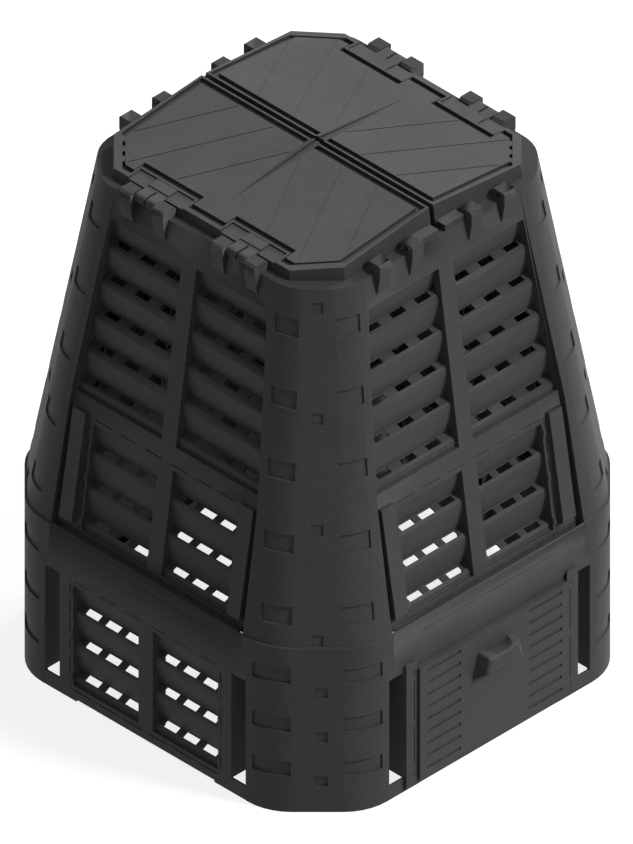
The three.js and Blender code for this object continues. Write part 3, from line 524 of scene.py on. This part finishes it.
def wall_tools(node):
    """What is added to and cut from a node's solid."""
    kind, side = node.rsplit("_", 1)
    if kind == "body_wall":
        fills = [box(stretch(hand, *FILL_X), FILL_Y, FILL_Z) for hand in (-1, 1)]
        foot = (BODY_GRILLE_FOOT - SHOULDER) / math.cos(WALL_TILT)
        cuts = [stood_up(snap_gaps(foot), WALL_TILT, WALL_FOOT, SHOULDER), hook_wedge()]
        cuts += [box(stretch(hand, *SLOT_X), SLOT_Y, SLOT_Z) for hand in (-1, 1)]
    elif kind == "ring_wall" and side in ("left", "right"):
        fills = []
        cuts = [stood_up(snap_gaps(RING_GRILLE_FOOT), 0, BASE_HALF, 0)]
    else:
        return [], []
    quarters = SIDES.index(side)
    return [[turned(tool, quarters) for tool in tools] for tools in (fills, cuts)]


# Hood handle of a hatch, boxier than the CAD solid's, with a dished top
HATCH_PROUD = 12
HATCH_SKIN = 2.5
HOOD_TOP = 207.5
HOOD_HEIGHT = 50.5
HOOD_TOP_HALF = 39
HOOD_FOOT_HALF = 53
HOOD_DEPTH = 26
HOOD_LIP = 19
HOOD_ROUND = 7
HOOD_EDGE = 8
HOOD_DRAFT = 4
HOOD_BEND = 1
HOOD_STEPS = 4
HOOD_SKIN = 3.5
DISH_HALF = 30
DISH_FRONT = 5
DISH_BACK = 9.5
DISH_POWER = 4
DISH_STEPS = 12
HOOD_LEAN = math.atan((HOOD_FOOT_HALF - HOOD_TOP_HALF) / HOOD_HEIGHT)


def outward(points):
    """Points given across, out from the ring's face and up, in space."""
    return [(x, -BASE_HALF - out, z) for x, out, z in points]


def steps(start, end, count):
    return [start + (end - start) * i / count for i in range(count + 1)]


def hood_half(z, shrink):
    """Half the hood's width at a height."""
    return HOOD_TOP_HALF + (HOOD_TOP - z) * math.tan(HOOD_LEAN) - shrink


def hood_outline(shrink, foot, out):
    """The hood's outline from the front, shrunk all round but at its foot."""
    bend = max(HOOD_ROUND - shrink, HOOD_BEND)
    height = HOOD_TOP - shrink - bend
    middle = (hood_half(height, shrink) - bend / math.cos(HOOD_LEAN), height)
    right = [(hood_half(foot, shrink), foot),
             *around(middle, bend, steps(HOOD_LEAN, math.pi / 2, HOOD_STEPS))]
    points = right + [(-x, z) for x, z in reversed(right)]
    return outward([(x, out, z) for x, z in points])


def hood_block(inset, foot, back):
    """The hood's rounded block from the hatch's face outwards, a little narrower there."""
    front = HATCH_PROUD + HOOD_DEPTH - inset
    edge = HOOD_EDGE - inset
    rounded = [hood_outline(inset + HOOD_DRAFT + edge * (1 - math.cos(a)), foot,
                            front - edge * (1 - math.sin(a)))
               for a in steps(0, math.pi / 2, HOOD_STEPS)]
    return skin([hood_outline(inset, foot, back), *rounded])


def dish(drop):
    """What is hollowed out of the hood's top, deeper towards the hatch."""
    rings = []
    for out, depth in ((HATCH_PROUD - OVERRUN, DISH_BACK), (HATCH_PROUD + HOOD_DEPTH, DISH_FRONT)):
        low = [(DISH_HALF * t, HOOD_TOP - drop - depth * (1 - t ** DISH_POWER))
               for t in steps(-1, 1, DISH_STEPS)]
        high = [(side * DISH_HALF, HOOD_TOP + OVERRUN) for side in (1, -1)]
        rings.append(outward([(x, out, z) for x, z in low + high]))
    return skin(rings)


def hood():
    """The hood, hollow and open below, with a lip that slopes in to the hatch."""
    back = HATCH_PROUD - HATCH_SKIN
    front = HATCH_PROUD + HOOD_DEPTH + OVERRUN
    foot = HOOD_TOP - HOOD_HEIGHT
    head = HOOD_TOP + OVERRUN
    half = HOOD_FOOT_HALF + OVERRUN
    profile = [(back, head), (front, head), (front, foot + HOOD_LIP), (back, foot)]
    above_lip = skin([outward([(x, out, z) for out, z in profile]) for x in (-half, half)])
    block = worked(hood_block(0, foot, back), [above_lip], "INTERSECT")
    block = worked(block, [dish(0)], "DIFFERENCE")
    hollow = worked(hood_block(HOOD_SKIN, foot - HOOD_DEPTH, HATCH_PROUD), [dish(HOOD_SKIN)],
                    "DIFFERENCE")
    return worked(block, [hollow], "DIFFERENCE")


def hatch(mesh, quarters):
    """The hatch with its hood made anew."""
    half = HOOD_FOOT_HALF + OVERRUN
    face = -BASE_HALF - HATCH_PROUD
    old_hood = box((-half, half), (face - HOOD_DEPTH - OVERRUN, face),
                   (HOOD_TOP - HOOD_HEIGHT - HOOD_DEPTH, HOOD_TOP + OVERRUN))
    mesh = worked(clean(mesh), [turned(old_hood, quarters)], "DIFFERENCE", "EXACT")
    return worked(mesh, [turned(hood(), quarters)], "UNION", "EXACT")


# Pieces
EDGE_ROUND = {"post": 0.9 * MM, "wall": 0.45 * MM, "grille": 0.45 * MM, "hatch": 0.8 * MM,
              "lid": 0.6 * MM}
EDGE_ANGLE = math.radians(25)
# Edges sharper than this stay crisp, on the lid also the low sides of the crease
SMOOTH_ANGLE = {**dict.fromkeys(EDGE_ROUND, math.radians(32)), "lid": math.radians(13)}
JOIN_DISTANCE = 0.02 * MM
FLAT_ANGLE = math.radians(0.6)


def clean(mesh):
    """Joined corners and plain faces, cut into even triangles."""
    form = bmesh.new()
    form.from_mesh(mesh)
    bmesh.ops.remove_doubles(form, verts=form.verts, dist=JOIN_DISTANCE)
    bmesh.ops.dissolve_limit(form, angle_limit=FLAT_ANGLE, verts=form.verts, edges=form.edges)
    bmesh.ops.triangulate(form, faces=form.faces, ngon_method="BEAUTY")
    form.to_mesh(mesh)
    form.free()
    return mesh


def shape_of(node):
    """The node's form as it is shown."""
    if node == "lid_left":
        return flap(-1)
    if node == "lid_right":
        return turned(flap(1), 2)
    mesh = frame["nodes"][node].data.copy()
    if node.startswith("hatch"):
        return hatch(mesh, SIDES.index(node.rsplit("_", 1)[1]))
    fills, cuts = wall_tools(node)
    if not cuts:
        return mesh
    mesh = worked(clean(mesh), fills, "UNION", "EXACT")
    return worked(mesh, cuts, "DIFFERENCE", "EXACT")


def bake(piece):
    """Applies the piece's modifiers to its mesh."""
    graph = bpy.context.evaluated_depsgraph_get()
    baked = bpy.data.meshes.new_from_object(piece.evaluated_get(graph))
    piece.modifiers.clear()
    piece.data = baked


def round_edges(piece, slot):
    """Gives the piece narrow rounded edges in its second material, which paints them paler as a
    highlight.
    """
    bevel = piece.modifiers.new("edges", "BEVEL")
    bevel.width = EDGE_ROUND[slot]
    bevel.segments = 2
    bevel.material = 1
    bevel.limit_method = "ANGLE"
    bevel.angle_limit = EDGE_ANGLE
    bake(piece)


def smooth(piece, slot):
    """Shades the piece smoothly, with its flat faces kept flat."""
    for face in piece.data.polygons:
        face.use_smooth = True
    piece.data.set_sharp_from_angle(angle=SMOOTH_ANGLE[slot])
    weighted = piece.modifiers.new("normals", "WEIGHTED_NORMAL")
    weighted.keep_sharp = True
    bake(piece)


def add_piece(node):
    """Makes the piece that is shown for the node."""
    slot = SLOT_OF[node]
    mesh = clean(shape_of(node))
    mesh.materials.clear()
    mesh.materials.append(FACES[slot])
    mesh.materials.append(EDGE_HIGHLIGHTS[slot])
    for face in mesh.polygons:
        face.material_index = 0
    piece = bpy.data.objects.new(f"{node}_moulded", mesh)
    bpy.context.scene.collection.objects.link(piece)
    round_edges(piece, slot)
    smooth(piece, slot)
    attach(piece, BODY_OF[node])
    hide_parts(node)


for node_name in frame["nodes"]:
    add_piece(node_name)

# Camera: orthographic, turned 45 degrees to the left of the front and raised
AZIMUTH = math.radians(-45)
ELEVATION = math.radians(35.63)
VIEW_HEIGHT = 1.38645
VIEW_SHIFT_RIGHT = -1.48 * MM
VIEW_SHIFT_UP = 360.66 * MM
CAMERA_DISTANCE = 4.0
CAMERA_REACH = 30

# Light: strength of the sky as it lights and as it is seen, then each sun's direction,
# strength and spread in degrees
SKY_LIT = 0.22
SKY_SEEN = 1.0
SUNS = {
    "key": ((0.34, -0.67, 0.656), 2.4, 14),
    "side": ((0.93, 0.0, 0.37), 2.1, 20),
}

# Floor: its tone and its own glow as they light the bin, and as the camera sees them
FLOOR_LIT = (0.06, 0.26)
FLOOR_SEEN = (0.42, 0.82)
FLOOR_HALF = 6.0
FLOOR_DROP = 0.2 * MM


def seen_rays(tree):
    """1 for rays that show the background: from the camera, off glossy or through clear things."""
    ray = tree.nodes.new("ShaderNodeLightPath")
    value = ray.outputs["Is Camera Ray"]
    for kind in ("Is Glossy Ray", "Is Transmission Ray"):
        either = tree.nodes.new("ShaderNodeMath")
        either.operation = "MAXIMUM"
        link(tree, value, either.inputs[0])
        link(tree, ray.outputs[kind], either.inputs[1])
        value = either.outputs["Value"]
    return value


def by_ray(tree, lit, seen, out):
    """Puts out one shader for the light on the bin and another for what is seen."""
    mixed = tree.nodes.new("ShaderNodeMixShader")
    link(tree, seen_rays(tree), mixed.inputs["Fac"])
    link(tree, lit, mixed.inputs[1])
    link(tree, seen, mixed.inputs[2])
    link(tree, mixed.outputs["Shader"], out.inputs["Surface"])


def glowing(tree, tone, strength):
    """Dull paint with a glow of its own."""
    paint = tree.nodes.new("ShaderNodeBsdfDiffuse")
    paint.inputs["Color"].default_value = (tone, tone, tone, 1)
    glow = tree.nodes.new("ShaderNodeEmission")
    glow.inputs["Strength"].default_value = strength
    both = tree.nodes.new("ShaderNodeAddShader")
    link(tree, paint.outputs["BSDF"], both.inputs[0])
    link(tree, glow.outputs["Emission"], both.inputs[1])
    return both.outputs["Shader"]


def floor():
    material, tree = node_material("pale_floor")
    out = tree.nodes.new("ShaderNodeOutputMaterial")
    by_ray(tree, glowing(tree, *FLOOR_LIT), glowing(tree, *FLOOR_SEEN), out)
    mesh = bpy.data.meshes.new("floor")
    form = bmesh.new()
    bmesh.ops.create_grid(form, x_segments=2, y_segments=2, size=FLOOR_HALF)
    form.to_mesh(mesh)
    form.free()
    mesh.materials.append(material)
    ground = bpy.data.objects.new("floor", mesh)
    ground.location.z = -FLOOR_DROP
    bpy.context.scene.collection.objects.link(ground)


def white(tree, strength):
    sky = tree.nodes.new("ShaderNodeBackground")
    sky.inputs["Color"].default_value = (1, 1, 1, 1)
    sky.inputs["Strength"].default_value = strength
    return sky.outputs["Background"]


def world():
    space = bpy.data.worlds.new("studio")
    space.use_nodes = True
    tree = space.node_tree
    tree.nodes.clear()
    out = tree.nodes.new("ShaderNodeOutputWorld")
    by_ray(tree, white(tree, SKY_LIT), white(tree, SKY_SEEN), out)
    bpy.context.scene.world = space


def sun(name, direction, strength, spread_angle):
    light = bpy.data.lights.new(name, "SUN")
    light.energy = strength
    light.angle = math.radians(spread_angle)
    lamp = bpy.data.objects.new(name, light)
    lamp.rotation_euler = Vector(direction).to_track_quat("Z", "Y").to_euler()
    bpy.context.scene.collection.objects.link(lamp)


def camera():
    lens = bpy.data.cameras.new("camera")
    lens.type = "ORTHO"
    lens.sensor_fit = "VERTICAL"
    lens.ortho_scale = VIEW_HEIGHT
    lens.clip_end = CAMERA_REACH
    eye = Vector((math.sin(AZIMUTH), -math.cos(AZIMUTH), 0)) * math.cos(ELEVATION)
    eye.z = math.sin(ELEVATION)
    right = Vector((math.cos(AZIMUTH), math.sin(AZIMUTH), 0))
    up = eye.cross(right)
    target = VIEW_SHIFT_RIGHT * right + VIEW_SHIFT_UP * up
    view = bpy.data.objects.new("camera", lens)
    view.location = target + CAMERA_DISTANCE * eye
    view.rotation_euler = (-eye).to_track_quat("-Z", "Y").to_euler()
    bpy.context.scene.collection.objects.link(view)
    bpy.context.scene.camera = view


floor()
world()
for sun_name, settings in SUNS.items():
    sun(sun_name, *settings)
camera()
bpy.context.scene.view_settings.view_transform = "Standard"
